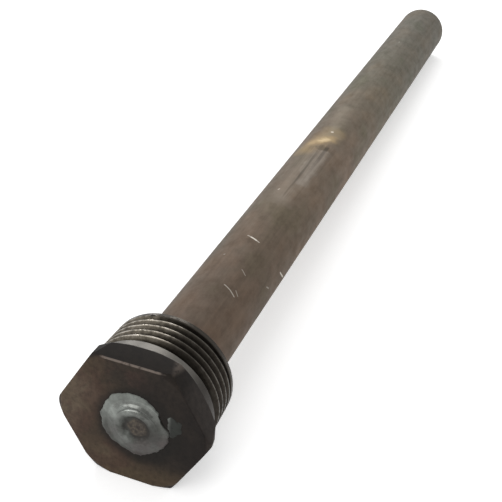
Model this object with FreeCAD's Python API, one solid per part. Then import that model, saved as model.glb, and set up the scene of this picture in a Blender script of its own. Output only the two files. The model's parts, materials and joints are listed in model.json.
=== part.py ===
import FreeCAD
import Part
import math
import os

# Water heater anode rod with a 3/4 inch tapered pipe plug, lying at rest: one flat of the hexagon head and
# the rim of the bar's far end touch the ground. Millimetres, +Z up, the rod along +X with its head at -X.
# Every piece is drawn first along its own X axis, with the head's front face at x = 0, and then laid down.

# Hexagon head of the plug, with its front and back corners turned away at an angle
HEX_ACROSS_FLATS = 27.0
HEX_HEIGHT = 5.2
FRONT_CHAMFER_LAND = 0.7
FRONT_CHAMFER_ANGLE = 30.0
BACK_CHAMFER_LAND = 0.2
BACK_CHAMFER_ANGLE = 35.0
CHAMFER_CROWN = 0.08

# Smooth turned collar behind the hexagon, a little inside its flats
COLLAR_STEP = 0.2
COLLAR_LENGTH = 2.2

# Tapered pipe thread 3/4-14, drawn as the cone over its crests, with a relief groove at its thick end and a
# smooth ring at its thin end
THREAD_PITCH = 1.814
THREAD_DEPTH_PER_PITCH = 0.8
THREAD_TAPER = 1.0 / 16.0
THREAD_LENGTH = 8.0
THREAD_THIN_END_DIAMETER = 26.03
RELIEF_WIDTH = 0.9
END_RING_STEP = 0.05
END_RING_LENGTH = 1.2
END_RING_CHAMFER = 0.3

# Sacrificial magnesium bar
BAR_DIAMETER = 16.8
BAR_LENGTH = 235.0
BAR_END_CHAMFER = 0.8

# Steel wire through the bar and the plug
WIRE_DIAMETER = 4.0
WIRE_CLEARANCE = 0.05

# Weld bead that closes the wire's hole on the head's face. Its outline wanders from round by the steps in
# BEAD_WANDER, at even angles that start at -Y and go up through +Z.
BEAD_DIAMETER = 13.4
BEAD_WANDER = (-0.4, -1.4, -0.4, 0.4, 0.8, 0.7, 0.8, 0.7, 0.1, 0.1, -0.7, -0.6)
BEAD_OFFSET = 1.3
BEAD_THICKNESS = 0.35
BOSS_BASE_DIAMETER = 10.0
BOSS_TOP_DIAMETER = 7.6
BOSS_HEIGHT = 0.75
CRATER_TOP_DIAMETER = 6.2
CRATER_BOTTOM_DIAMETER = 3.8
CRATER_DEPTH = 0.7

AXIS = FreeCAD.Vector(1, 0, 0)
START = FreeCAD.Vector(0, 0, 0)

hex_inner_radius = HEX_ACROSS_FLATS / 2
collar_radius = hex_inner_radius - COLLAR_STEP
collar_end = HEX_HEIGHT + COLLAR_LENGTH
thread_start = collar_end + RELIEF_WIDTH
thread_end = thread_start + THREAD_LENGTH
plug_end = thread_end + END_RING_LENGTH
thin_radius = THREAD_THIN_END_DIAMETER / 2
thick_radius = thin_radius + THREAD_LENGTH * THREAD_TAPER / 2
thread_depth = THREAD_DEPTH_PER_PITCH * THREAD_PITCH
bar_end = plug_end + BAR_LENGTH


def point(x, radius):
    """A point of a turned profile, at a distance along the axis and a radius from it."""
    return FreeCAD.Vector(x, 0, radius)


def turned(corners):
    """A solid turned about the rod's axis from the corners of its half section."""
    outline = Part.makePolygon(corners + [corners[0]])
    return Part.Face(outline).revolve(START, AXIS, 360)


def crowned(start, end):
    """A chamfer in the half section, bulged a little off its straight line as a forming tool leaves it."""
    along = end - start
    outwards = FreeCAD.Vector(-along.z, 0, along.x).normalize()
    return Part.Arc(start, (start + end) / 2 + outwards * CHAMFER_CROWN, end).toShape()


def chamfer_setback(land, angle):
    """How far along the axis a chamfer has come by the time it leaves the hexagon's corners."""
    corner_radius = hex_inner_radius / math.cos(math.pi / 6)
    return (corner_radius - hex_inner_radius - land) * math.tan(math.radians(angle))


def hexagon_head():
    """Hexagon prism with a flat at the top and the bottom, its corners turned away at front and back."""
    corner_radius = hex_inner_radius / math.cos(math.pi / 6)
    corners = []
    for step in range(7):
        angle = math.radians(60 * step)
        corners.append(FreeCAD.Vector(0, corner_radius * math.cos(angle), corner_radius * math.sin(angle)))
    prism = Part.Face(Part.makePolygon(corners)).extrude(AXIS * HEX_HEIGHT)
    front_setback = chamfer_setback(FRONT_CHAMFER_LAND, FRONT_CHAMFER_ANGLE)
    back_setback = chamfer_setback(BACK_CHAMFER_LAND, BACK_CHAMFER_ANGLE)
    face_rim = point(0, hex_inner_radius + FRONT_CHAMFER_LAND)
    front_corner = point(front_setback, corner_radius)
    back_corner = point(HEX_HEIGHT - back_setback, corner_radius)
    back_rim = point(HEX_HEIGHT, hex_inner_radius + BACK_CHAMFER_LAND)
    half_section = Part.Wire([
        Part.makeLine(START, face_rim),
        crowned(face_rim, front_corner),
        Part.makeLine(front_corner, back_corner),
        crowned(back_corner, back_rim),
        Part.makeLine(back_rim, point(HEX_HEIGHT, 0)),
        Part.makeLine(point(HEX_HEIGHT, 0), START),
    ])
    envelope = Part.Face(half_section).revolve(START, AXIS, 360)
    return prism.common(envelope)


def threaded_shank():
    """Collar, relief groove, cone over the thread's crests and the smooth end ring, turned in one."""
    relief_radius = thick_radius - thread_depth
    ring_radius = thin_radius - END_RING_STEP
    return turned([
        point(HEX_HEIGHT, 0),
        point(HEX_HEIGHT, collar_radius),
        point(collar_end, collar_radius),
        point(collar_end, relief_radius),
        point(thread_start, relief_radius),
        point(thread_start, thick_radius),
        point(thread_end, thin_radius),
        point(thread_end, ring_radius),
        point(plug_end - END_RING_CHAMFER, ring_radius),
        point(plug_end, ring_radius - END_RING_CHAMFER),
        point(plug_end, 0),
    ])


def hex_plug():
    """The plug in one piece, drilled right through for the wire."""
    body = hexagon_head().fuse(threaded_shank()).removeSplitter()
    hole = Part.makeCylinder(WIRE_DIAMETER / 2 + WIRE_CLEARANCE, plug_end, START, AXIS)
    return body.cut(hole)


def anode_bar():
    """Round bar that butts on the plug's end, with its far edge broken and the wire's hole through it."""
    radius = BAR_DIAMETER / 2
    wire_radius = WIRE_DIAMETER / 2
    return turned([
        point(plug_end, wire_radius),
        point(plug_end, radius),
        point(bar_end - BAR_END_CHAMFER, radius),
        point(bar_end, radius - BAR_END_CHAMFER),
        point(bar_end, wire_radius),
    ])


def core_wire():
    """Straight wire from the head's face to the bar's far end, cut flush with both."""
    return Part.makeCylinder(WIRE_DIAMETER / 2, bar_end, START, AXIS)


def weld_bead():
    """Thin ragged pad on the head's face, with a raised ring in its middle and a crater in the ring."""
    middle = FreeCAD.Vector(0, -BEAD_OFFSET, 0)
    outwards = AXIS * -1
    rim = []
    for step, wander in enumerate(BEAD_WANDER):
        angle = 2 * math.pi * step / len(BEAD_WANDER)
        radius = BEAD_DIAMETER / 2 + wander
        rim.append(middle + FreeCAD.Vector(0, -radius * math.cos(angle), radius * math.sin(angle)))
    outline = Part.BSplineCurve()
    outline.interpolate(Points=rim, PeriodicFlag=True)
    pad = Part.Face(Part.Wire(outline.toShape())).extrude(outwards * BEAD_THICKNESS)
    boss_base = middle + outwards * BEAD_THICKNESS
    boss = Part.makeCone(BOSS_BASE_DIAMETER / 2, BOSS_TOP_DIAMETER / 2, BOSS_HEIGHT, boss_base, outwards)
    crater_floor = boss_base + outwards * (BOSS_HEIGHT - CRATER_DEPTH)
    crater = Part.makeCone(
        CRATER_BOTTOM_DIAMETER / 2, CRATER_TOP_DIAMETER / 2, CRATER_DEPTH, crater_floor, outwards
    )
    return pad.fuse(boss).removeSplitter().cut(crater)


def rest_tilt():
    """Angle in degrees at which the rod leans from its thickest support down to the bar's far rim."""
    rim_x = bar_end - BAR_END_CHAMFER
    rim_radius = BAR_DIAMETER / 2
    supports = (
        (HEX_HEIGHT, hex_inner_radius),
        (collar_end, collar_radius),
        (thread_start, thick_radius),
        (thread_end, thin_radius),
    )
    return max(math.degrees(math.atan2(radius - rim_radius, rim_x - x)) for x, radius in supports)


def laid_down(pieces):
    """The pieces leaned to their rest, with the middle of their common box's underside at the origin."""
    leaned = {}
    for name, shape in pieces.items():
        leaned[name] = shape.rotated(START, FreeCAD.Vector(0, 1, 0), rest_tilt())
    box = Part.makeCompound(list(leaned.values())).optimalBoundingBox(False, False)
    shift = FreeCAD.Vector(-(box.XMin + box.XMax) / 2, -(box.YMin + box.YMax) / 2, -box.ZMin)
    return {name: shape.translated(shift) for name, shape in leaned.items()}


pieces = laid_down({
    "hex_plug": hex_plug(),
    "anode_bar": anode_bar(),
    "core_wire": core_wire(),
    "weld_bead": weld_bead(),
})

os.makedirs("parts", exist_ok=True)
for name, shape in pieces.items():
    solid = shape.Solids[0]
    solid.exportStep("parts/" + name + ".step")
    box = solid.optimalBoundingBox(False, False)
    print(name, "solids", len(shape.Solids), "valid", solid.isValid(), "volume", round(solid.Volume, 2))
    print("  x", round(box.XMin, 3), round(box.XMax, 3), "y", round(box.YMin, 3), round(box.YMax, 3))
    print("  z", round(box.ZMin, 3), round(box.ZMax, 3))
print("rest tilt in degrees", round(rest_tilt(), 3))
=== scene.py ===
import json
import math

import bpy
from mathutils import Matrix, Vector, noise


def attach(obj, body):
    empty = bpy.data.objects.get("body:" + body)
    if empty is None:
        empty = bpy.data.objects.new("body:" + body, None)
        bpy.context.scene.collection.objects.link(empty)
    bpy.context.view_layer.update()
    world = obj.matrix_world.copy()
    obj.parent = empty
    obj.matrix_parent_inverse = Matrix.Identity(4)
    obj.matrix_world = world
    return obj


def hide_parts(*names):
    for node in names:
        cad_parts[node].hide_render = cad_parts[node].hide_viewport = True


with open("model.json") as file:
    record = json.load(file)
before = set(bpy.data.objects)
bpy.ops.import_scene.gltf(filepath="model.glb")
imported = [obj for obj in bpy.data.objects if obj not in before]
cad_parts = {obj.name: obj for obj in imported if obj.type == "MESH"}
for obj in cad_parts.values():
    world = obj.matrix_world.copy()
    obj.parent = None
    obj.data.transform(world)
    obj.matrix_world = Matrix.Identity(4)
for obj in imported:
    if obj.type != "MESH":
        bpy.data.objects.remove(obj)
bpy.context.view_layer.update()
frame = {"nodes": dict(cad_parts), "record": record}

MM = 0.001


# Core wire. Plain steel wire, drawn and sawn off, that runs from end to end and carries the bar. Only its
# sawn end shows, at the bar's far end, where it has tarnished brown.
WIRE_RADIUS = 2.0 * MM
TARNISH_SIZE = 1.2 * MM
# real saw marks are finer, and are drawn this coarse so that they show
WIRE_SAW_MARKS = 0.25 * MM

# how the rod lies: each piece is modelled along +X with the head's face at x = 0, in metres, and is then
# leaned down on its flat and its far rim, as the frame's pipe thread says
FACE_TO_MID_THREAD = 12.3 * MM
pipe_thread = [mount for mount in frame["record"]["mounts"] if mount["name"] == "pipe_thread"][0]
rod_axis = Vector(pipe_thread["axis"]).normalized()
face_middle = Vector(pipe_thread["pos_m"]) - rod_axis * FACE_TO_MID_THREAD
AT_REST = Matrix.Translation(face_middle) @ Matrix.Rotation(math.atan2(-rod_axis.z, rod_axis.x), 4, "Y")


def linear(hex_colour):
    """An sRGB colour, written as six hex digits, as Blender's linear colour."""
    channels = [int(hex_colour[i:i + 2], 16) / 255 for i in (0, 2, 4)]
    return tuple(c / 12.92 if c < 0.04045 else ((c + 0.055) / 1.055) ** 2.4 for c in channels) + (1.0,)


def fill(node, inputs):
    """Fills a node's inputs with values, or links them where they are other nodes' outputs."""
    for socket, value in inputs.items():
        if isinstance(value, bpy.types.NodeSocket):
            node.id_data.links.new(value, node.inputs[socket])
        else:
            node.inputs[socket].default_value = value


def add(tree, kind, inputs, output=0, stops=(), **settings):
    """Adds a node with its settings, its ramp's stops and its inputs, and gives one of its outputs."""
    node = tree.nodes.new(kind)
    for name, value in settings.items():
        setattr(node, name, value)
    if stops:
        band = node.color_ramp.elements
        for element, (position, colour) in ((band[0], stops[0]), (band[1], stops[-1])):
            element.position = position
            element.color = linear(colour)
        for position, colour in stops[1:-1]:
            band.new(position).color = linear(colour)
    fill(node, inputs)
    return node.outputs[output]


def new_material(name):
    """A new material, its node tree and shader, and the rod's own coordinates in it."""
    material = bpy.data.materials.new(name)
    material.use_nodes = True
    tree = material.node_tree
    back = AT_REST.inverted()
    place = add(tree, "ShaderNodeMapping", {
        "Vector": add(tree, "ShaderNodeTexCoord", {}, "Object"),
        "Location": back.to_translation(),
        "Rotation": back.to_euler(),
    })
    return material, tree, tree.nodes["Principled BSDF"], place


# sawn carbon steel: a dull grey-brown that shines in fine lines
sawn_wire, tree, shader, place = new_material("sawn_carbon_steel_wire")
tarnish = add(tree, "ShaderNodeTexNoise", {"Vector": place, "Scale": 1 / TARNISH_SIZE, "Detail": 4.0})
saw_lines = add(tree, "ShaderNodeTexWave", {
    "Vector": place, "Scale": math.pi / 10 / WIRE_SAW_MARKS, "Distortion": 3.0, "Detail": 3.0,
    "Detail Scale": 2.0,
}, bands_direction="Z")
fill(shader, {
    "Base Color": add(tree, "ShaderNodeValToRGB", {"Fac": tarnish}, stops=[(0.3, "4a3c30"), (0.7, "75685a")]),
    "Metallic": 0.9,
    "Roughness": 0.5,
    "Normal": add(tree, "ShaderNodeBump", {"Height": saw_lines, "Strength": 0.4, "Distance": 0.05 * MM}),
})
for slot in frame["nodes"]["core_wire"].material_slots:
    slot.material = sawn_wire


# Anode bar. Magnesium formed round the wire and left in the open, so that it has a dull brown-grey oxide. A
# scrape runs along its top to a small raised lip, rubbed bare with a painted highlight, and a few bright
# scratches.
PLUG_END = 17.5 * MM
BAR_RADIUS = 8.4 * MM
BAR_LENGTH = 235.0 * MM
BAR_SIDES = 128
BAR_EDGE_ROUND = 0.8 * MM
BAR_WAVES = 0.05 * MM
BAR_WAVE_SIZE = 14 * MM
BAR_END = PLUG_END + BAR_LENGTH
# dents in the skin: millimetres from the plug, degrees from the top towards -Y, and reach and depth in
# millimetres
SCRAPE = [(69 + 2.5 * step, 15, 2.2, 0.03) for step in range(10)]
NOTCH = [(95.5, 2, 2.0, 0.10), (95.0, 13, 2.0, 0.12)]
LIP = [(98.3, 4, 2.2, -0.10), (97.8, -10, 2.6, -0.08), (100.5, 10, 2.4, -0.08), (105.0, 5, 1.2, -0.10)]
NICKS = [(41.8, 90, 1.6, 0.10), (20.5, 42, 2.6, 0.08)]
BLOTCH_SIZE = 8 * MM
MOTTLE_SIZE = 2.2 * MM
GRAIN_SIZE = 0.5 * MM
DRAWN_LINES = 1.0 * MM
BAR_SAW_MARKS = 0.6 * MM
# edges of the worn patches wander by this much, in steps of this size
PATCH_WANDER = 3.5 * MM
PATCH_STEPS = 2.5 * MM


def start_edit(piece, mode="VERT"):
    """Opens a piece in edit mode with nothing selected."""
    bpy.ops.object.select_all(action="DESELECT")
    piece.select_set(True)
    bpy.context.view_layer.objects.active = piece
    bpy.ops.object.mode_set(mode="EDIT")
    bpy.ops.mesh.select_mode(type=mode)
    bpy.ops.mesh.select_all(action="DESELECT")


def pick(piece, part, test):
    """Selects the vertices, edges or faces of a piece in edit mode whose corners pass a test."""
    bpy.ops.mesh.select_all(action="DESELECT")
    bpy.ops.object.mode_set(mode="OBJECT")
    places = [vertex.co.copy() for vertex in piece.data.vertices]
    for item in getattr(piece.data, part):
        corners = [item.index] if part == "vertices" else item.vertices
        item.select = test([places[corner] for corner in corners])
    bpy.ops.object.mode_set(mode="EDIT")


def along(corners):
    """How far corners spread along the rod."""
    return max(corner.x for corner in corners) - min(corner.x for corner in corners)


def outer(corners):
    """Whether corners all lie on the bar's skin."""
    return all(corner.yz.length > BAR_RADIUS - 0.1 * MM for corner in corners)


bpy.ops.object.select_all(action="DESELECT")
bpy.ops.mesh.primitive_cylinder_add(
    vertices=BAR_SIDES, radius=BAR_RADIUS, depth=BAR_LENGTH, end_fill_type="NGON",
    location=(PLUG_END + BAR_LENGTH / 2, 0, 0), rotation=(0, math.pi / 2, 0),
)
bar = bpy.context.object
bar.name = "magnesium_bar"
bpy.ops.object.transform_apply(location=True, rotation=True, scale=True)
# the hole that the wire fills
start_edit(bar, "FACE")
pick(bar, "polygons", lambda corners: len(corners) == BAR_SIDES)
bpy.ops.mesh.inset(thickness=BAR_RADIUS - WIRE_RADIUS)
bpy.ops.mesh.bridge_edge_loops()
# the far edge is rounded
bpy.ops.mesh.select_mode(type="EDGE")
pick(bar, "edges", lambda corners: outer(corners) and min(c.x for c in corners) > BAR_END - 0.1 * MM)
bpy.ops.mesh.bevel(offset=BAR_EDGE_ROUND, segments=5, profile=0.5, affect="EDGES")
# rings 0.7 mm apart along the length, for the scrape and the waves
for cuts in (19, 15):
    pick(bar, "edges", lambda corners: outer(corners) and along(corners) > 2 * MM)
    bpy.ops.mesh.subdivide(number_cuts=cuts)
bpy.ops.object.mode_set(mode="OBJECT")


def on_bar(x, turn):
    """A point on the bar, millimetres from the plug and degrees from the top towards -Y."""
    angle = math.radians(turn)
    return Vector((PLUG_END + x * MM, -BAR_RADIUS * math.sin(angle), BAR_RADIUS * math.cos(angle)))


# each dent pushes the skin in towards the axis, or out where its depth is negative
start_edit(bar)
for x, turn, reach, depth in SCRAPE + NOTCH + LIP + NICKS:
    middle = on_bar(x, turn)
    pick(bar, "vertices", lambda corners: (corners[0] - middle).length < reach * MM / 2)
    scale = 1 - depth * MM / BAR_RADIUS
    bpy.ops.transform.resize(
        value=(1, scale, scale), center_override=(middle.x, 0, 0), use_proportional_edit=True,
        proportional_edit_falloff="SMOOTH", proportional_size=reach * MM,
    )
bpy.ops.object.mode_set(mode="OBJECT")
# the skin wanders a little in and out
waves = bpy.data.textures.new("skin_waves", type="CLOUDS")
waves.noise_scale = BAR_WAVE_SIZE
displace = bar.modifiers.new("skin_waves", "DISPLACE")
displace.texture = waves
displace.texture_coords = "LOCAL"
displace.strength = BAR_WAVES
bpy.ops.object.modifier_apply(modifier="skin_waves")
bpy.ops.object.shade_smooth_by_angle(angle=math.radians(35))


def lay_over(tree, under, over, strength, where=1.0, blend="MIX"):
    """Lays a colour over another as strongly as given, only where a mask is: oxide, grime or painted light.
    """
    factor = add(tree, "ShaderNodeMath", {0: where, 1: strength}, operation="MULTIPLY")
    return add(tree, "ShaderNodeMix", {"Factor": factor, "A": under, "B": over}, "Result", data_type="RGBA",
               blend_type=blend)


def side(tree, place, direction, off, full):
    """A mask that is 0 up to off along a direction, 1 from full on, and smooth between."""
    reach = add(tree, "ShaderNodeVectorMath", {0: place, 1: direction}, "Value", operation="DOT_PRODUCT")
    return add(tree, "ShaderNodeMapRange", {
        "Value": reach, "From Min": off, "From Max": full,
    }, interpolation_type="SMOOTHSTEP")


def near(tree, place, start, end, inner_reach, outer_reach):
    """A mask that is 1 within inner_reach of the line from start to end, falling to 0 at outer_reach."""
    line = end - start
    from_start = add(tree, "ShaderNodeVectorMath", {0: place, 1: start}, operation="SUBTRACT")
    share = add(tree, "ShaderNodeMath", {
        0: add(tree, "ShaderNodeVectorMath", {0: from_start, 1: line}, "Value", operation="DOT_PRODUCT"),
        1: 1 / max(line.length_squared, 1e-10),
    }, operation="MULTIPLY", use_clamp=True)
    foot = add(tree, "ShaderNodeVectorMath", {0: line, "Scale": share}, operation="SCALE")
    gap = add(tree, "ShaderNodeVectorMath", {0: from_start, 1: foot}, "Value", operation="DISTANCE")
    return add(tree, "ShaderNodeMapRange", {
        "Value": gap, "From Min": outer_reach, "From Max": inner_reach,
    }, interpolation_type="SMOOTHSTEP")


# magnesium, extruded: a soft dull metal under a thin uneven oxide, brown by the plug and greener far from it
magnesium, tree, shader, place = new_material("extruded_magnesium_dull_oxide")
rod_x, rod_y, rod_z = add(tree, "ShaderNodeSeparateXYZ", {"Vector": place}).node.outputs
minus_y = add(tree, "ShaderNodeMath", {0: rod_y, 1: -1.0}, operation="MULTIPLY")
turn_here = add(tree, "ShaderNodeMath", {0: minus_y, 1: rod_z}, operation="ARCTAN2")
# the skin laid out flat: along the rod, and round it from the top
laid_out = add(tree, "ShaderNodeCombineXYZ", {
    "X": rod_x, "Y": add(tree, "ShaderNodeMath", {0: turn_here, 1: BAR_RADIUS}, operation="MULTIPLY"),
})


def on_skin(x, turn):
    """A point of the laid-out skin, millimetres from the plug and degrees from the top towards -Y."""
    return Vector((PLUG_END + x * MM, BAR_RADIUS * math.radians(turn), 0))


# the oxide's tone along the bar; down the left side it is greyer, and painted darker as shade
skin = add(tree, "ShaderNodeValToRGB", {"Fac": side(tree, place, (1, 0, 0), PLUG_END, BAR_END)}, stops=[
    (0.0, "6b5c4f"), (0.15, "766859"), (0.38, "7f7163"), (0.7, "777163"), (1.0, "726f66"),
])
skin = lay_over(tree, skin, linear("5f5a52"), 0.6, side(tree, place, (0, 1, 0), 1.5 * MM, 7.5 * MM))
# blotches drawn out along the bar, mottling, and fine grain
stretched = add(tree, "ShaderNodeVectorMath", {0: place, 1: (0.6, 1, 1)}, operation="MULTIPLY")
blotches = add(tree, "ShaderNodeTexNoise", {"Vector": stretched, "Scale": 1 / BLOTCH_SIZE, "Detail": 3.0})
mottling = add(tree, "ShaderNodeTexNoise", {
    "Vector": stretched, "Scale": 1 / MOTTLE_SIZE, "Detail": 6.0, "Roughness": 0.65,
})
grain = add(tree, "ShaderNodeTexNoise", {"Vector": place, "Scale": 1 / GRAIN_SIZE, "Detail": 4.0})
# drawing lines along the bar
drawn = add(tree, "ShaderNodeTexNoise", {
    "Vector": add(tree, "ShaderNodeVectorMath", {0: place, 1: (0.03, 1, 1)}, operation="MULTIPLY"),
    "Scale": 1 / DRAWN_LINES, "Detail": 3.0, "Roughness": 0.6,
})
for pattern, strength, stops in (
    (blotches, 0.8, [(0.32, "dfe2d2"), (0.45, "e9e6e0"), (0.55, "f4ece4"), (0.70, "fff0e0")]),
    (mottling, 0.42, [(0.34, "bdbab6"), (0.5, "e6e6e6"), (0.66, "ffffff")]),
    (drawn, 0.3, [(0.35, "c4c2c0"), (0.65, "ffffff")]),
):
    tint = add(tree, "ShaderNodeValToRGB", {"Fac": pattern}, stops=stops)
    skin = lay_over(tree, skin, tint, strength, blend="MULTIPLY")

# worn patches, the bright ones on the lip partly painted highlight and the dark one in the notch painted
# shade: where each starts and ends, its inner and outer reach in millimetres, how strong it is, and its
# colour
stray = add(tree, "ShaderNodeVectorMath", {
    0: add(tree, "ShaderNodeTexNoise", {"Vector": place, "Scale": 1 / PATCH_STEPS, "Detail": 4.0}, "Color"),
    1: (0.5, 0.5, 0.5),
}, operation="SUBTRACT")
stray = add(tree, "ShaderNodeVectorMath", {
    0: stray, 1: (PATCH_WANDER, PATCH_WANDER, 0),
}, operation="MULTIPLY")
ragged = add(tree, "ShaderNodeVectorMath", {0: laid_out, 1: stray}, operation="ADD")
for start, end, inner_reach, outer_reach, strength, colour in (
    (on_skin(62, 2), on_skin(96, 5), 0.0, 5.6, 0.60, "857b6e"),
    (on_skin(72, 17), on_skin(93, 16), 0.0, 2.2, 0.65, "958c81"),
    (on_skin(78, 2), on_skin(90, 3), 0.0, 1.0, 0.4, "968d81"),
    (on_skin(92, -20), on_skin(106, 8), 0.0, 5.0, 0.75, "96825f"),
    (on_skin(104, 6), on_skin(124, -5), 0.0, 3.2, 0.5, "8c8272"),
    # partly rubbed bare and partly painted highlight on the lip: this patch, the next, and the pale fleck
    (on_skin(97, -12), on_skin(101, 10), 0.0, 3.2, 0.75, "b29a74"),
    (on_skin(98.3, -3), on_skin(100, 4), 0.0, 1.6, 0.8, "d9c29a"),
    # painted shade, dark in the notch
    (on_skin(93.8, 3), on_skin(95.0, 15), 0.1, 1.7, 0.75, "5d5140"),
    (on_skin(105.2, 5), on_skin(105.4, 6), 0.1, 0.8, 0.9, "e6dccc"),
):
    patch = near(tree, ragged, start, end, inner_reach * MM, outer_reach * MM)
    skin = lay_over(tree, skin, linear(colour), strength, patch)
# lengthwise lines in the scrape
worn = near(tree, ragged, on_skin(66, 8), on_skin(94, 8), 1.0 * MM, 5.0 * MM)
scrape_lines = add(tree, "ShaderNodeValToRGB", {"Fac": drawn}, stops=[
    (0.38, "a5a19c"), (0.52, "f0eeec"), (0.62, "ffffff"),
])
skin = lay_over(tree, skin, scrape_lines, 0.7, worn, "MULTIPLY")

# bright scratches, each given by how bright and wide it is, and where its line bends along and round the bar
scratched = 0.0
for strength, width, bends in (
    (0.45, 0.15, ((41.4, -2), (41.1, 4))),
    (1.00, 0.19, ((41.1, 4), (40.9, 8), (40.6, 14))),
    (0.55, 0.15, ((40.6, 14), (40.4, 19))),
    (0.45, 0.13, ((20.8, 16), (20.3, 27), (19.5, 37))),
    (0.30, 0.10, ((21.4, 34), (20.5, 41))),
    (0.30, 0.10, ((28.4, 23), (27.4, 32))),
    (0.90, 0.18, ((40.6, 81), (41.8, 90), (43.0, 98))),
    (0.35, 0.14, ((32.0, 73), (32.8, 78))),
    (0.50, 0.16, ((66.0, -11), (66.4, -10))),
    (0.35, 0.12, ((31.9, -16), (32.1, -15))),
    (0.40, 0.16, ((191.0, -1), (191.4, 0))),
):
    for first, second in zip(bends, bends[1:]):
        line = near(tree, laid_out, on_skin(*first), on_skin(*second), 0.5 * width * MM, 1.7 * width * MM)
        line = add(tree, "ShaderNodeMath", {0: line, 1: strength}, operation="MULTIPLY")
        scratched = add(tree, "ShaderNodeMath", {0: line, 1: scratched}, operation="MAXIMUM")
skin = lay_over(tree, skin, linear("e4ded2"), 0.9, scratched)
# the end face is sawn, and paler
end_face = side(tree, place, (1, 0, 0), BAR_END - 0.25 * MM, BAR_END - 0.05 * MM)
skin = lay_over(tree, skin, linear("8a867d"), 0.6, end_face)
saw_lines = add(tree, "ShaderNodeTexWave", {
    "Vector": place, "Scale": math.pi / 10 / BAR_SAW_MARKS, "Distortion": 2.0, "Detail": 3.0,
}, bands_direction="Z")
saw_lines = add(tree, "ShaderNodeMath", {0: end_face, 1: saw_lines}, operation="MULTIPLY")
relief = add(tree, "ShaderNodeMath", {0: mottling, 1: grain}, operation="ADD")
for pattern, height in ((drawn, 0.8), (scratched, -1.5), (saw_lines, 1.0)):
    relief = add(tree, "ShaderNodeMath", {0: pattern, 1: height, 2: relief}, operation="MULTIPLY_ADD")
fill(shader, {
    "Base Color": skin,
    "Metallic": 0.15,
    "Specular IOR Level": 0.3,
    "Roughness": add(tree, "ShaderNodeMapRange", {
        "Value": mottling, "From Min": 0.3, "From Max": 0.7, "To Min": 0.78, "To Max": 0.62,
    }),
    "Normal": add(tree, "ShaderNodeBump", {"Height": relief, "Strength": 0.35, "Distance": 0.06 * MM}),
})
bar.data.materials.append(magnesium)


def lay_down(piece):
    """Leans a finished piece into its place, and writes that place into its mesh."""
    bpy.ops.object.select_all(action="DESELECT")
    piece.select_set(True)
    bpy.context.view_layer.objects.active = piece
    piece.matrix_world = AT_REST
    bpy.ops.object.transform_apply(location=True, rotation=True, scale=True)


lay_down(bar)
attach(bar, "root")
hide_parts("anode_bar")


# Hexagon plug. Forged steel with a brown-black heat oxide. The hexagon's corners are turned away at the front
# and the back, and three are worn. Behind it the collar and the 3/4-14 taper pipe thread are turned bright.
HEX_ACROSS_FLATS = 27.0 * MM
HEX_HEIGHT = 5.2 * MM
HEX_CORNER_ROUND = 0.4 * MM
LEFT_CORNER_ROUND = 1.7 * MM
HEX_EDGE_ROUND = 0.22 * MM
# corners that are worn off at a slope: which way they point, how far out the slope starts, and its degrees
WORN_CORNERS = ((Vector((0, -1, 0)), 15.5 * MM, 14.5), (Vector((0, 0.5, 0.866)), 15.35 * MM, 10.0))
FRONT_RIM = 14.2 * MM
FRONT_SETBACK = 0.80 * MM
BACK_RIM = 13.7 * MM
BACK_SETBACK = 1.32 * MM
COLLAR_RADIUS = 13.3 * MM
COLLAR_END = 7.4 * MM
THREAD_START = 8.3 * MM
THREAD_END = 16.3 * MM
THREAD_PITCH = 1.814 * MM
THREAD_DEPTH = 0.8 * THREAD_PITCH
THREAD_CREST_FLAT = 0.14 * THREAD_PITCH
THREAD_ROOT_FLAT = 0.12 * THREAD_PITCH
THREAD_TURNS = 8
THREAD_TAPER = 1 / 32
THIN_CREST = 13.015 * MM
RING_RADIUS = 12.965 * MM
RING_CHAMFER = 0.3 * MM
TURN_STEPS = 192
HEX_CORNER = HEX_ACROSS_FLATS / math.sqrt(3)
THREAD_ROOT = THIN_CREST - THREAD_DEPTH
THREAD_FOOT = THREAD_ROOT + THREAD_END * THREAD_TAPER
RELIEF_RADIUS = THREAD_ROOT + (THREAD_END - THREAD_START) * THREAD_TAPER
BEAD_MIDDLE = Vector((0, -1.3 * MM, 0))
SCALE_PATCH = 7 * MM
SCALE_MOTTLE = 1.1 * MM
RUST_PATCH = 5 * MM
TURNING_LINES = 0.3 * MM


def draw_line(name, points):
    """A line of edges above the rod's axis, extruded point by point from one vertex."""
    bpy.ops.object.select_all(action="DESELECT")
    bpy.ops.mesh.primitive_plane_add(size=MM)
    piece = bpy.context.object
    piece.name = name
    bpy.ops.object.mode_set(mode="EDIT")
    bpy.ops.mesh.select_mode(type="VERT")
    bpy.ops.mesh.select_all(action="SELECT")
    bpy.ops.mesh.merge(type="CENTER")
    x, radius = points[0]
    bpy.ops.transform.translate(value=(x, 0, radius))
    for next_x, next_radius in points[1:]:
        step = (next_x - x, 0, next_radius - radius)
        bpy.ops.mesh.extrude_region_move(TRANSFORM_OT_translate={"value": step})
        x, radius = next_x, next_radius
    return piece


def close_up():
    """Merges doubles in the piece that is being edited, and turns its faces outwards."""
    bpy.ops.mesh.select_all(action="SELECT")
    bpy.ops.mesh.remove_doubles(threshold=0.001 * MM)
    bpy.ops.mesh.normals_make_consistent(inside=False)
    bpy.ops.object.mode_set(mode="OBJECT")


def turn_solid(name, points):
    """A solid turned about the rod's axis from its half section."""
    piece = draw_line(name, points)
    bpy.ops.mesh.select_all(action="SELECT")
    bpy.ops.mesh.spin(steps=TURN_STEPS, angle=2 * math.pi, center=(0, 0, 0), axis=(1, 0, 0))
    close_up()
    return piece


def finish_with(piece, kind, **settings):
    """Adds a modifier to a piece and applies it."""
    modifier = piece.modifiers.new(kind.lower(), kind)
    for name, value in settings.items():
        setattr(modifier, name, value)
    bpy.ops.object.select_all(action="DESELECT")
    piece.select_set(True)
    bpy.context.view_layer.objects.active = piece
    bpy.ops.object.modifier_apply(modifier=modifier.name)


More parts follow.
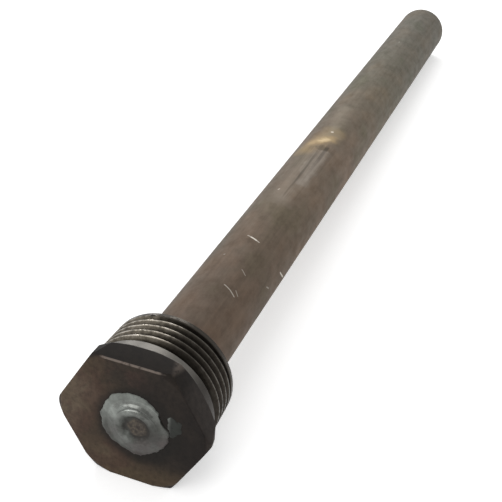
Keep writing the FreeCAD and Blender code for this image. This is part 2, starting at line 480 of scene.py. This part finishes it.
def combine(piece, other, operation):
    """Joins, cuts or keeps the shared part of two solids, and deletes the second."""
    finish_with(piece, "BOOLEAN", operation=operation, object=other, solver="EXACT")
    bpy.data.objects.remove(other, do_unlink=True)


# the hexagon, with its upright corners rounded and the worn ones sloped off
bpy.ops.object.select_all(action="DESELECT")
bpy.ops.mesh.primitive_cylinder_add(
    vertices=6, radius=HEX_CORNER, depth=HEX_HEIGHT,
    location=(HEX_HEIGHT / 2, 0, 0), rotation=(0, math.pi / 2, 0),
)
plug = bpy.context.object
plug.name = "hexagon_plug"
bpy.ops.object.transform_apply(location=True, rotation=True, scale=True)
start_edit(plug, "EDGE")
pick(plug, "edges", lambda corners: along(corners) > HEX_HEIGHT / 2 and corners[0].y < HEX_CORNER - MM)
bpy.ops.mesh.bevel(offset=HEX_CORNER_ROUND, segments=3, affect="EDGES")
pick(plug, "edges", lambda corners: along(corners) > HEX_HEIGHT / 2 and corners[0].y > HEX_CORNER - MM)
bpy.ops.mesh.bevel(offset=LEFT_CORNER_ROUND, segments=5, affect="EDGES")
for outwards, reach, slope in WORN_CORNERS:
    bpy.ops.mesh.select_all(action="SELECT")
    bpy.ops.mesh.bisect(
        plane_co=outwards * reach + Vector((FRONT_SETBACK, 0, 0)),
        plane_no=outwards * math.cos(math.radians(slope)) + Vector((math.sin(math.radians(slope)), 0, 0)),
        use_fill=True, clear_outer=True,
    )
close_up()
# corners turned away at the front and the back
envelope = turn_solid("chamfer_envelope", [
    (-0.001 * MM, 0), (-0.001 * MM, FRONT_RIM), (FRONT_SETBACK, HEX_CORNER + 0.01 * MM),
    (HEX_HEIGHT - BACK_SETBACK, HEX_CORNER + 0.01 * MM), (HEX_HEIGHT + 0.001 * MM, BACK_RIM),
    (HEX_HEIGHT + 0.001 * MM, 0),
])
combine(plug, envelope, "INTERSECT")
finish_with(plug, "BEVEL", width=HEX_EDGE_ROUND, segments=3, limit_method="ANGLE",
            angle_limit=math.radians(25))

# collar, relief groove, the core under the thread, and end ring
combine(plug, turn_solid("turned_shank", [
    (HEX_HEIGHT - 1.0 * MM, 0),
    (HEX_HEIGHT - 1.0 * MM, COLLAR_RADIUS - 0.5 * MM),
    (HEX_HEIGHT - 0.5 * MM, COLLAR_RADIUS),
    (COLLAR_END - 0.2 * MM, COLLAR_RADIUS),
    (COLLAR_END - 0.05 * MM, COLLAR_RADIUS - 0.1 * MM),
    (COLLAR_END, COLLAR_RADIUS - 0.3 * MM),
    (COLLAR_END + 0.25 * MM, RELIEF_RADIUS + 0.15 * MM),
    (COLLAR_END + 0.4 * MM, RELIEF_RADIUS),
    (THREAD_START + 0.1 * MM, RELIEF_RADIUS),
    (THREAD_START + 0.2 * MM, RELIEF_RADIUS - 0.4 * MM),
    (THREAD_END - 0.1 * MM, RELIEF_RADIUS - 0.4 * MM),
    (THREAD_END, RING_RADIUS - 0.15 * MM),
    (THREAD_END + 0.15 * MM, RING_RADIUS),
    (PLUG_END - RING_CHAMFER, RING_RADIUS),
    (PLUG_END, RING_RADIUS - RING_CHAMFER),
    (PLUG_END, 0),
]), "UNION")

# the thread: one ridge's outline wound round the axis, cut flat at both ends, and spread to its taper
ridge_start = THREAD_START - 2 * THREAD_PITCH
flank = (THREAD_PITCH - THREAD_CREST_FLAT - THREAD_ROOT_FLAT) / 2
crest_start = ridge_start + THREAD_ROOT_FLAT + flank
thread = draw_line("pipe_thread", [
    (ridge_start, THREAD_ROOT),
    (ridge_start + THREAD_ROOT_FLAT, THREAD_ROOT),
    (crest_start - 0.08 * flank, THIN_CREST - 0.08 * THREAD_DEPTH),
    (crest_start + 0.1 * THREAD_CREST_FLAT, THIN_CREST),
    (crest_start + 0.9 * THREAD_CREST_FLAT, THIN_CREST),
    (crest_start + THREAD_CREST_FLAT + 0.08 * flank, THIN_CREST - 0.08 * THREAD_DEPTH),
    (ridge_start + THREAD_PITCH, THREAD_ROOT),
])
bpy.ops.object.mode_set(mode="OBJECT")
finish_with(
    thread, "SCREW", axis="X", angle=2 * math.pi, screw_offset=THREAD_PITCH, iterations=THREAD_TURNS,
    steps=128, render_steps=128, use_merge_vertices=True, merge_threshold=0.001 * MM,
)
start_edit(thread)
for cut_x, keeps_front in ((THREAD_START, False), (THREAD_END + 0.05 * MM, True)):
    bpy.ops.mesh.select_all(action="SELECT")
    bpy.ops.mesh.bisect(
        plane_co=(cut_x, 0, 0), plane_no=(1, 0, 0), use_fill=True,
        clear_inner=not keeps_front, clear_outer=keeps_front,
    )
close_up()
for vertex in thread.data.vertices:
    if vertex.co.yz.length > THREAD_ROOT / 2:
        spread = 1 + (THREAD_END - vertex.co.x) * THREAD_TAPER / vertex.co.yz.length
        vertex.co.y *= spread
        vertex.co.z *= spread
combine(plug, thread, "UNION")
# the hole for the wire
combine(plug, turn_solid("wire_drill", [
    (-MM, 0), (-MM, WIRE_RADIUS + 0.05 * MM), (PLUG_END + MM, WIRE_RADIUS + 0.05 * MM), (PLUG_END + MM, 0),
]), "DIFFERENCE")
bpy.ops.object.shade_smooth_by_angle(angle=math.radians(28))

# forged steel under heat oxide: nearly black, with brown and a little rust, and bare only where it is rubbed;
# light, shade and highlights on its edges are painted on it
plug_steel, tree, shader, place = new_material("forged_steel_heat_oxide")
rod_x, rod_y, rod_z = add(tree, "ShaderNodeSeparateXYZ", {"Vector": place}).node.outputs
from_axis = add(tree, "ShaderNodeVectorMath", {
    0: add(tree, "ShaderNodeVectorMath", {0: place, 1: (0, 1, 1)}, operation="MULTIPLY"),
}, "Value", operation="LENGTH")
# scale in patches over finer mottling
patches = add(tree, "ShaderNodeTexNoise", {"Vector": place, "Scale": 1 / SCALE_PATCH, "Detail": 3.0})
mottling = add(tree, "ShaderNodeTexNoise", {
    "Vector": place, "Scale": 1 / SCALE_MOTTLE, "Detail": 6.0, "Roughness": 0.65,
})
# painted light and shade: the face is lighter and browner on its left and blacker on its right, over patches
# of scale; it is browner low down
painted_light_and_scale_patches = add(tree, "ShaderNodeMath", {
    0: rod_y, 1: 1 / HEX_ACROSS_FLATS, 2: patches,
}, operation="MULTIPLY_ADD")
skin = add(tree, "ShaderNodeValToRGB", {"Fac": painted_light_and_scale_patches}, stops=[
    (0.05, "1d1815"), (0.45, "2d2620"), (0.75, "43372b"), (1.0, "584c3f"),
])
skin = lay_over(tree, skin, linear("514434"), 0.7, side(tree, place, (0, 0, 1), -6.5 * MM, -12.0 * MM))
# faint rust has started in patches on its left half
rust = add(tree, "ShaderNodeTexNoise", {
    "Vector": place, "Scale": 1 / RUST_PATCH, "Detail": 5.0, "Roughness": 0.6, "Distortion": 0.4,
})
rust = add(tree, "ShaderNodeMapRange", {
    "Value": rust, "From Min": 0.42, "From Max": 0.60,
}, interpolation_type="SMOOTHSTEP")
rust = add(tree, "ShaderNodeMath", {
    0: rust, 1: side(tree, place, (0, 1, 0), -6 * MM, 2 * MM),
}, operation="MULTIPLY")
skin = lay_over(tree, skin, linear("42302a"), 0.5, rust)
# the flats keep their black scale; the right flat is painted lighter, as light falling on it
flat_scale_and_painted_light = lay_over(
    tree, linear("1e1915"), linear("302a26"), 1.0, side(tree, place, (0, 1, 0), -9 * MM, -11 * MM)
)
skin = lay_over(tree, skin, flat_scale_and_painted_light, 1.0, side(tree, place, (1, 0, 0), 0.05 * MM, 0.5 * MM))
# weld heat has left a dark ring on the face round the bead
halo = near(tree, place, BEAD_MIDDLE, BEAD_MIDDLE + Vector((0.02 * MM, 0, 0)), 7.2 * MM, 9.6 * MM)
skin = lay_over(tree, skin, linear("191613"), 0.85, halo)
scale_tint = add(tree, "ShaderNodeValToRGB", {"Fac": mottling}, stops=[
    (0.34, "a8a8a8"), (0.5, "dedede"), (0.68, "ffffff"),
])
skin = lay_over(tree, skin, scale_tint, 0.7, blend="MULTIPLY")

# an upright corner of the hexagon is where the second of its three reaches comes near to the first
reaches = []
for turn in (0, math.pi / 3, -math.pi / 3):
    reach = add(tree, "ShaderNodeVectorMath", {
        0: place, 1: (0, math.sin(turn), math.cos(turn)),
    }, "Value", operation="DOT_PRODUCT")
    reaches.append(add(tree, "ShaderNodeMath", {0: reach}, operation="ABSOLUTE"))
widest, least, total = [
    add(tree, "ShaderNodeMath", {
        0: add(tree, "ShaderNodeMath", {0: reaches[0], 1: reaches[1]}, operation=operation), 1: reaches[2],
    }, operation=operation)
    for operation in ("MAXIMUM", "MINIMUM", "ADD")
]
second = add(tree, "ShaderNodeMath", {0: total, 1: widest}, operation="SUBTRACT")
second = add(tree, "ShaderNodeMath", {0: second, 1: least}, operation="SUBTRACT")
# painted highlight, and bare steel where it is rubbed: the upright corner at the upper right, which widens
# towards the back
second = add(tree, "ShaderNodeMath", {0: rod_x, 1: 0.25, 2: second}, operation="MULTIPLY_ADD")
rubbed_corner_and_highlight = add(tree, "ShaderNodeMapRange", {
    "Value": second, "From Min": HEX_ACROSS_FLATS / 2 - 0.5 * MM, "From Max": HEX_ACROSS_FLATS / 2 + 0.9 * MM,
}, interpolation_type="SMOOTHSTEP")
upper_right = add(tree, "ShaderNodeMath", {
    0: side(tree, place, (0, -1, 1), 12 * MM, 17 * MM), 1: 0.65,
}, operation="MULTIPLY")
rubbed_corner_and_highlight = add(tree, "ShaderNodeMath", {0: rubbed_corner_and_highlight, 1: upper_right}, operation="MULTIPLY")
# and the face's upper edge, a painted highlight that is partly rubbed bare
rubbed_edge_and_highlight = add(tree, "ShaderNodeMath", {
    0: side(tree, place, (0, 0, 1), HEX_ACROSS_FLATS / 2 - 0.42 * MM, HEX_ACROSS_FLATS / 2 - 0.15 * MM),
    1: side(tree, place, (1, 0, 0), 0.36 * MM, 0.14 * MM),
}, operation="MULTIPLY")
rubbed_and_highlights = add(tree, "ShaderNodeMath", {0: rubbed_corner_and_highlight, 1: rubbed_edge_and_highlight}, operation="MAXIMUM")
uneven = add(tree, "ShaderNodeMapRange", {
    "Value": mottling, "From Min": 0.30, "From Max": 0.52,
}, interpolation_type="SMOOTHSTEP")
rubbed_and_highlights = add(tree, "ShaderNodeMath", {0: rubbed_and_highlights, 1: uneven}, operation="MULTIPLY")
# the rubbed places and the painted highlights on the corner and edge get one pale colour
skin = lay_over(tree, skin, linear("756a62"), 0.75, rubbed_and_highlights)

# turned surfaces lie behind the hexagon's back chamfer: the collar, the thread and the end ring
back_slope = BACK_SETBACK / (HEX_CORNER - BACK_RIM)
behind = add(tree, "ShaderNodeMath", {
    0: from_axis, 1: back_slope, 2: -HEX_HEIGHT - BACK_RIM * back_slope,
}, operation="MULTIPLY_ADD")
behind = add(tree, "ShaderNodeMath", {0: behind, 1: rod_x}, operation="ADD")
turned = add(tree, "ShaderNodeMapRange", {
    "Value": behind, "From Min": -0.15 * MM, "From Max": 0.02 * MM,
}, interpolation_type="SMOOTHSTEP")
# the thread is painted bright on its crests, partly rubbed and partly a painted highlight, darker in its
# roots as painted shade, and blotched with oil and fine rust
crest_height = add(tree, "ShaderNodeMath", {
    0: rod_x, 1: THREAD_TAPER, 2: from_axis,
}, operation="MULTIPLY_ADD")
depth_share = add(tree, "ShaderNodeMapRange", {
    "Value": crest_height, "From Min": THREAD_FOOT, "From Max": THREAD_FOOT + THREAD_DEPTH,
})
turned_tone = add(tree, "ShaderNodeValToRGB", {"Fac": depth_share}, stops=[
    (0.0, "47433c"), (0.3, "575249"), (0.88, "5c574f"), (1.0, "8f8981"),
])
oil_tint = add(tree, "ShaderNodeValToRGB", {"Fac": mottling}, stops=[
    (0.36, "86837c"), (0.5, "cfccc4"), (0.64, "ffffff"),
])
turned_tone = lay_over(tree, turned_tone, oil_tint, 0.75, blend="MULTIPLY")
# painted shade: the thread is darker on its right side, away from the light
painted_shade_right = side(tree, place, (0, 1, 0), 1.0 * MM, -5.0 * MM)
turned_tone = lay_over(tree, turned_tone, linear("25211e"), 0.7, painted_shade_right)
# the collar and the end ring have their own tones, and the collar is painted darker on its right side as
# shade
collar_tone_and_shade = lay_over(
    tree, linear("6b6863"), linear("34302c"), 1.0, side(tree, place, (0, 1, 0), -7.5 * MM, -11.5 * MM)
)
on_collar = side(tree, place, (1, 0, 0), COLLAR_END + 0.15 * MM, COLLAR_END - 0.05 * MM)
turned_tone = lay_over(tree, turned_tone, collar_tone_and_shade, 1.0, on_collar)
on_ring = side(tree, place, (1, 0, 0), THREAD_END - 0.1 * MM, THREAD_END + 0.1 * MM)
turned_tone = lay_over(tree, turned_tone, linear("3f3b36"), 1.0, on_ring)
skin = lay_over(tree, skin, turned_tone, 1.0, turned)
# crests are polished where no scale dulls them
crest_shine = add(tree, "ShaderNodeMapRange", {
    "Value": mottling, "From Min": 0.2, "From Max": 0.5,
}, interpolation_type="SMOOTHSTEP")
crest_shine = add(tree, "ShaderNodeMath", {0: depth_share, 1: crest_shine}, operation="MULTIPLY")
thread_roughness = add(tree, "ShaderNodeMapRange", {
    "Value": crest_shine, "From Min": 0.9, "From Max": 1.0, "To Min": 0.48, "To Max": 0.2,
})
turned_roughness = add(tree, "ShaderNodeMix", {
    "Factor": on_collar, "A": thread_roughness, "B": 0.40,
}, "Result")
# turning lines on the turned surfaces, and scale about 0.03 mm high on the forged ones
turning_lines = add(tree, "ShaderNodeTexWave", {
    "Vector": place, "Scale": math.pi / 10 / TURNING_LINES, "Distortion": 0.6, "Detail": 2.0,
}, bands_direction="X")
turning_lines = add(tree, "ShaderNodeMath", {0: turning_lines, 1: 0.3}, operation="MULTIPLY")
relief = add(tree, "ShaderNodeMix", {"Factor": turned, "A": mottling, "B": turning_lines}, "Result")
fill(shader, {
    "Base Color": skin,
    "Metallic": add(tree, "ShaderNodeMix", {"Factor": turned, "A": 0.0, "B": 0.75}, "Result"),
    "Roughness": add(tree, "ShaderNodeMix", {"Factor": turned, "A": 0.72, "B": turned_roughness}, "Result"),
    "Specular IOR Level": 0.15,
    "Normal": add(tree, "ShaderNodeBump", {"Height": relief, "Strength": 0.45, "Distance": 0.06 * MM}),
})
plug.data.materials.append(plug_steel)
lay_down(plug)
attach(plug, "root")
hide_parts("hex_plug")


# Weld bead. Grey weld metal on the head's face over the wire's hole: a thin ragged pad, a boss in two soft
# steps where the metal flowed, and a crater with brown slag in it.
BEAD_RADIUS = 6.7 * MM
BEAD_WANDER = (-0.4, -1.4, -0.4, 0.4, 0.8, 0.7, 0.8, 0.7, 0.1, 0.1, -0.7, -0.6)
BEAD_SIDES = 128
# distance from the bead's middle and height above the head's face, in millimetres, from the rim inwards
BEAD_SECTION = (
    (6.70, -0.05), (6.60, 0.16), (6.46, 0.26), (6.25, 0.31), (5.90, 0.34), (5.50, 0.36), (5.24, 0.40),
    (5.10, 0.46), (4.98, 0.54), (4.86, 0.62), (4.74, 0.70), (4.62, 0.77), (4.52, 0.80), (4.43, 0.79),
    (4.35, 0.77), (4.27, 0.80), (4.18, 0.87), (4.08, 0.94), (3.98, 1.00), (3.88, 1.04), (3.76, 1.06),
    (3.60, 1.05), (3.40, 1.01), (3.10, 0.95), (2.85, 0.86), (2.65, 0.70), (2.48, 0.54), (2.30, 0.45),
    (2.10, 0.46), (1.90, 0.53), (1.65, 0.58), (1.35, 0.58), (1.00, 0.54), (0.60, 0.52), (0.30, 0.51),
)
BETWEEN_STEPS = 4.37 * MM
SHARPEST_TURN = math.radians(108)
LARGE_LUMPS = 1.4 * MM
LARGE_LUMP_HEIGHT = 0.05 * MM
SMALL_LUMPS = 0.5 * MM
SMALL_LUMP_HEIGHT = 0.02 * MM
# steps that make the rim ragged: which layer of the noise, how fine they are, and how far they reach
RAGGED_STEPS = ((0, 6.0, 0.3 * MM), (5, 14.0, 0.16 * MM))
SPECKLE_SIZE = 0.8 * MM
CLOUD_SIZE = 3.5 * MM
SLAG_LUMPS = 1.6 * MM

bpy.ops.object.select_all(action="DESELECT")
bpy.ops.mesh.primitive_circle_add(
    vertices=BEAD_SIDES, radius=BEAD_RADIUS, fill_type="NGON",
    location=(0, 0, 0), rotation=(0, -math.pi / 2, 0),
)
bead = bpy.context.object
bead.name = "weld_metal_bead"
bpy.ops.object.transform_apply(location=True, rotation=True, scale=True)
start_edit(bead, "FACE")
bpy.ops.mesh.select_all(action="SELECT")
for (outer_ring, _), (inner_ring, _) in zip(BEAD_SECTION, BEAD_SECTION[1:]):
    bpy.ops.mesh.inset(thickness=(outer_ring - inner_ring) * MM)
bpy.ops.mesh.poke()
bpy.ops.object.mode_set(mode="OBJECT")


def wander(angle):
    """How far the bead's rim strays from round at an angle from -Y, smooth between the named places."""
    share = (angle / (2 * math.pi)) % 1 * len(BEAD_WANDER)
    index = int(share)
    blend = (1 - math.cos(math.pi * (share - index))) / 2
    first = BEAD_WANDER[index % len(BEAD_WANDER)]
    return (first + (BEAD_WANDER[(index + 1) % len(BEAD_WANDER)] - first) * blend) * MM


def bead_height(distance):
    """Height of the bead's section at a distance from its middle."""
    for (r_out, h_out), (r_in, h_in) in zip(BEAD_SECTION, BEAD_SECTION[1:]):
        if r_in * MM <= distance <= r_out * MM:
            return (h_in + (h_out - h_in) * (distance / MM - r_in) / (r_out - r_in)) * MM
    return BEAD_SECTION[-1][1] * MM if distance < BEAD_SECTION[-1][0] * MM else BEAD_SECTION[0][1] * MM


for vertex in bead.data.vertices:
    distance = vertex.co.yz.length
    angle = math.atan2(vertex.co.z, -vertex.co.y)
    height = bead_height(distance)
    # the whole is lumpy by a few hundredths of a millimetre, the boss less so
    uneven = noise.noise(vertex.co / LARGE_LUMPS) * LARGE_LUMP_HEIGHT
    uneven += noise.noise(vertex.co / SMALL_LUMPS) * SMALL_LUMP_HEIGHT
    if distance > 5.9 * MM:
        uneven = min(uneven, 0)
    elif distance > 3.4 * MM:
        uneven *= 0.4
    # the boss's two steps are sharpest on the upper left, and opposite it is one smooth rise
    sharpness = (0.5 + 0.5 * math.cos(angle - SHARPEST_TURN)) ** 2
    rise = min(max((6.0 - distance / MM) / 2.6, 0), 1)
    smooth_height = (0.34 + 0.67 * rise * rise * (3 - 2 * rise)) * MM
    if 3.4 * MM < distance < 5.95 * MM:
        height = smooth_height + (height - smooth_height) * sharpness
    # the rim is ragged
    strays = wander(angle)
    for layer, fineness, reach in RAGGED_STEPS:
        strays += noise.noise(Vector((math.cos(angle), math.sin(angle), layer)) * fineness) * reach
    stretch = 1 + strays / BEAD_RADIUS * (distance / BEAD_RADIUS) ** 3
    edge_fade = min(1.0, (BEAD_RADIUS - distance) / (0.3 * MM))
    vertex.co = BEAD_MIDDLE + Vector((
        -height - uneven * edge_fade, vertex.co.y * stretch, vertex.co.z * stretch,
    ))
# a flat underside, sunk a little into the face, closes the bead
start_edit(bead, "EDGE")
bpy.ops.mesh.select_non_manifold(extend=False, use_wire=False, use_multi_face=False, use_non_contiguous=False)
bpy.ops.mesh.edge_face_add()
close_up()
bpy.ops.object.shade_smooth_by_angle(angle=math.radians(60))

# weld metal as laid: a pale grey skin with fine grains, painted lighter on the upper left and darker away
# from it, as light and shade
weld_metal, tree, shader, place = new_material("weld_metal_as_laid")
from_middle = add(tree, "ShaderNodeVectorMath", {0: place, 1: BEAD_MIDDLE}, operation="SUBTRACT")
distance = add(tree, "ShaderNodeVectorMath", {
    0: add(tree, "ShaderNodeVectorMath", {0: from_middle, 1: (0, 1, 1)}, operation="MULTIPLY"),
}, "Value", operation="LENGTH")
speckle = add(tree, "ShaderNodeTexNoise", {
    "Vector": place, "Scale": 1 / SPECKLE_SIZE, "Detail": 5.0, "Roughness": 0.7,
})
clouds = add(tree, "ShaderNodeTexNoise", {"Vector": place, "Scale": 1 / CLOUD_SIZE, "Detail": 2.0})
# painted light and shade: lighter towards the upper left
slope = add(tree, "ShaderNodeVectorMath", {
    0: place, 1: (0, 0.02 / MM, 0.05 / MM),
}, "Value", operation="DOT_PRODUCT")
tone = add(tree, "ShaderNodeMath", {0: slope, 1: clouds}, operation="ADD")
skin = add(tree, "ShaderNodeValToRGB", {"Fac": tone}, stops=[
    (0.15, "524d4b"), (0.4, "555652"), (0.6, "646662"), (0.85, "838782"),
])
speckle_tint = add(tree, "ShaderNodeValToRGB", {"Fac": speckle}, stops=[
    (0.32, "b4b4b4"), (0.5, "e4e4e4"), (0.68, "ffffff"),
])
skin = lay_over(tree, skin, speckle_tint, 0.6, blend="MULTIPLY")
# masks by distance from the bead's middle, the inner ones with a ragged edge
lumps = add(tree, "ShaderNodeTexNoise", {"Vector": place, "Scale": 1 / SLAG_LUMPS, "Detail": 3.0})
ragged_distance = add(tree, "ShaderNodeMath", {0: lumps, 1: 1.8 * MM, 2: distance}, operation="MULTIPLY_ADD")
from_line = add(tree, "ShaderNodeMath", {0: distance, 1: -BETWEEN_STEPS}, operation="ADD")
from_line = add(tree, "ShaderNodeMath", {0: from_line}, operation="ABSOLUTE")
rim, slag, pit, dull, between = [
    add(tree, "ShaderNodeMapRange", {
        "Value": value, "From Min": off * MM, "From Max": full * MM,
    }, interpolation_type="SMOOTHSTEP")
    for value, off, full in (
        (distance, 5.7, 6.3), (ragged_distance, 3.0, 2.3), (ragged_distance, 3.9, 3.2),
        (ragged_distance, 4.6, 4.0), (from_line, 0.16, 0.04),
    )
]
# painted shade: a dark line in the groove between the boss's steps, where they are sharp
upper = side(tree, place, (0, 0, 1), 1.0 * MM, 4.0 * MM)
between = add(tree, "ShaderNodeMath", {0: between, 1: upper}, operation="MULTIPLY")
skin = lay_over(tree, skin, linear("2b2d2b"), 0.65, between)
# painted shade on the dome right of the crater, a dark ring round the crater, and brown slag in it
shade_right_of_crater = BEAD_MIDDLE + Vector((0, -3.0 * MM, 0.9 * MM))
in_shade_right_of_crater = near(tree, place, shade_right_of_crater, shade_right_of_crater - Vector((0, 0.3 * MM, 1.6 * MM)), 0.5 * MM, 2.6 * MM)
skin = lay_over(tree, skin, linear("353633"), 0.7, in_shade_right_of_crater)
skin = lay_over(tree, skin, linear("2f2c29"), 0.75, pit)
slag_tone = add(tree, "ShaderNodeValToRGB", {"Fac": speckle}, stops=[
    (0.35, "35302c"), (0.5, "4a443e"), (0.65, "62594c"),
])
skin = lay_over(tree, skin, slag_tone, 1.0, slag)
# the spatter right of the bead is thin, and dark with heat
spattered = side(tree, place, (0, 1, 0), -7.2 * MM, -8.0 * MM)
skin = lay_over(tree, skin, linear("242623"), 0.85, spattered)
# the metal is smoothest where the steps are sharp, and rough at the rim and round the crater
smooth_metal = add(tree, "ShaderNodeMapRange", {"Value": upper, "To Min": 0.5, "To Max": 0.21})
rough = add(tree, "ShaderNodeMath", {0: dull, 1: rim}, operation="MAXIMUM")
fill(shader, {
    "Base Color": skin,
    "Metallic": 0.7,
    "Roughness": add(tree, "ShaderNodeMix", {"Factor": rough, "A": smooth_metal, "B": 0.75}, "Result"),
    "Normal": add(tree, "ShaderNodeBump", {"Height": speckle, "Strength": 0.18, "Distance": 0.08 * MM}),
})
bead.data.materials.append(weld_metal)
lay_down(bead)
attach(bead, "root")
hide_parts("weld_bead")


# Weld spatter. Small flat drops of the same weld metal, thrown on the face beside the bead and run together.
# They stick to the oxide, and are no higher than 0.15 mm.
# (each drop's place right of the axis and above it, its radius and its height, in millimetres)
SPATTER_DROPS = (
    (7.9, 3.6, 0.80, 0.11), (8.7, 2.8, 1.05, 0.15), (9.0, 1.8, 0.95, 0.15), (8.3, 1.1, 0.80, 0.14),
    (7.8, 2.2, 0.80, 0.14), (9.4, 3.5, 0.45, 0.08), (8.0, 0.2, 0.50, 0.10),
)
DROP_LUMPS = 0.9 * MM
drops = []
for right, up, radius, height in SPATTER_DROPS:
    bpy.ops.object.select_all(action="DESELECT")
    bpy.ops.mesh.primitive_ico_sphere_add(subdivisions=4, radius=1.0, location=(0, -right * MM, up * MM))
    drop = bpy.context.object
    drop.scale = (height * MM, radius * MM, radius * MM)
    drop.name = "drop"
    bpy.ops.object.transform_apply(location=True, rotation=True, scale=True)
    for vertex in drop.data.vertices:
        push = 1 + 0.35 * noise.noise(vertex.co / DROP_LUMPS)
        vertex.co.y = -right * MM + (vertex.co.y + right * MM) * push
        vertex.co.z = up * MM + (vertex.co.z - up * MM) * push
    drops.append(drop)
spatter = drops[0]
spatter.name = "weld_spatter"
for drop in drops[1:]:
    combine(spatter, drop, "UNION")
bpy.ops.object.shade_smooth_by_angle(angle=math.radians(60))
spatter.data.materials.append(weld_metal)
lay_down(spatter)
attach(spatter, "root")


# Floor. Plain and pale. The camera and mirrors see it a little lighter than the lamps make it, so that it is
# white but for the rod's shadow.
FLOOR_SIZE = 6.0
FLOOR_GLOW = 0.42
bpy.ops.object.select_all(action="DESELECT")
bpy.ops.mesh.primitive_plane_add(size=FLOOR_SIZE, location=(0, 0, 0))
floor = bpy.context.object
floor.name = "floor"
floor_material = bpy.data.materials.new("pale_floor")
floor_material.use_nodes = True
tree = floor_material.node_tree
looked_at = add(tree, "ShaderNodeLightPath", {}, "Is Camera Ray").node
seen = add(tree, "ShaderNodeMath", {
    0: looked_at.outputs["Is Camera Ray"], 1: looked_at.outputs["Is Glossy Ray"],
}, operation="MAXIMUM")
glow = add(tree, "ShaderNodeMath", {0: seen, 1: FLOOR_GLOW}, operation="MULTIPLY")
glow = add(tree, "ShaderNodeEmission", {"Strength": glow})
matt = add(tree, "ShaderNodeBsdfDiffuse", {"Color": linear("f2f2f2")})
fill(tree.nodes["Material Output"], {"Surface": add(tree, "ShaderNodeAddShader", {0: matt, 1: glow})})
floor.data.materials.append(floor_material)


# Light. A white room with three lamps: a soft one behind and above the rod for its turned steel, a wide one
# in front of the head for the weld bead, and a small one far behind for the glints on the thread's crests.
ROOM_LIGHT = 0.71
world = bpy.data.worlds.new("white_room")
bpy.context.scene.world = world
world.use_nodes = True
tree = world.node_tree
seen = add(tree, "ShaderNodeLightPath", {}, "Is Camera Ray")
fill(tree.nodes["Background"], {
    "Color": (1, 1, 1, 1),
    "Strength": add(tree, "ShaderNodeMapRange", {"Value": seen, "To Min": ROOM_LIGHT, "To Max": 1.0}),
})


def add_lamp(name, place, aim, size, power):
    """A soft lamp, wider than high, at a place, facing a point."""
    data = bpy.data.lights.new(name, "AREA")
    data.shape = "RECTANGLE"
    data.size, data.size_y = size
    data.energy = power
    lamp = bpy.data.objects.new(name, data)
    bpy.context.collection.objects.link(lamp)
    lamp.location = place
    lamp.rotation_euler = (Vector(aim) - Vector(place)).to_track_quat("-Z", "Y").to_euler()


HEAD_MIDDLE = (-0.12, 0, 0.013)
add_lamp("lamp_behind", (0.76, 0.26, 0.76), HEAD_MIDDLE, (0.55, 0.55), 3.6)
add_lamp("lamp_front", (-0.87, 0.50, 0.34), HEAD_MIDDLE, (0.75, 0.45), 4.6)
add_lamp("lamp_left", (0.60, 0.60, 0.36), HEAD_MIDDLE, (0.08, 0.08), 0.8)


# Camera, where the photograph was taken from: close to the head, looking down along the rod.
CAMERA_PLACE = (-241.72 * MM, -59.47 * MM, 134.16 * MM)
CAMERA_HEADING = 18.57
CAMERA_PITCH = -32.42
CAMERA_ROLL = 3.91
CAMERA_LENS = 68.94
camera_data = bpy.data.cameras.new("camera")
camera_data.sensor_width = 36
camera_data.lens = CAMERA_LENS
camera_data.clip_start = 0.01
camera = bpy.data.objects.new("camera", camera_data)
bpy.context.collection.objects.link(camera)
camera.matrix_world = (
    Matrix.Translation(CAMERA_PLACE)
    @ Matrix.Rotation(math.radians(CAMERA_HEADING - 90), 4, "Z")
    @ Matrix.Rotation(math.radians(90 + CAMERA_PITCH), 4, "X")
    @ Matrix.Rotation(math.radians(CAMERA_ROLL), 4, "Z")
)
bpy.context.scene.camera = camera
bpy.context.scene.view_settings.view_transform = "Standard"
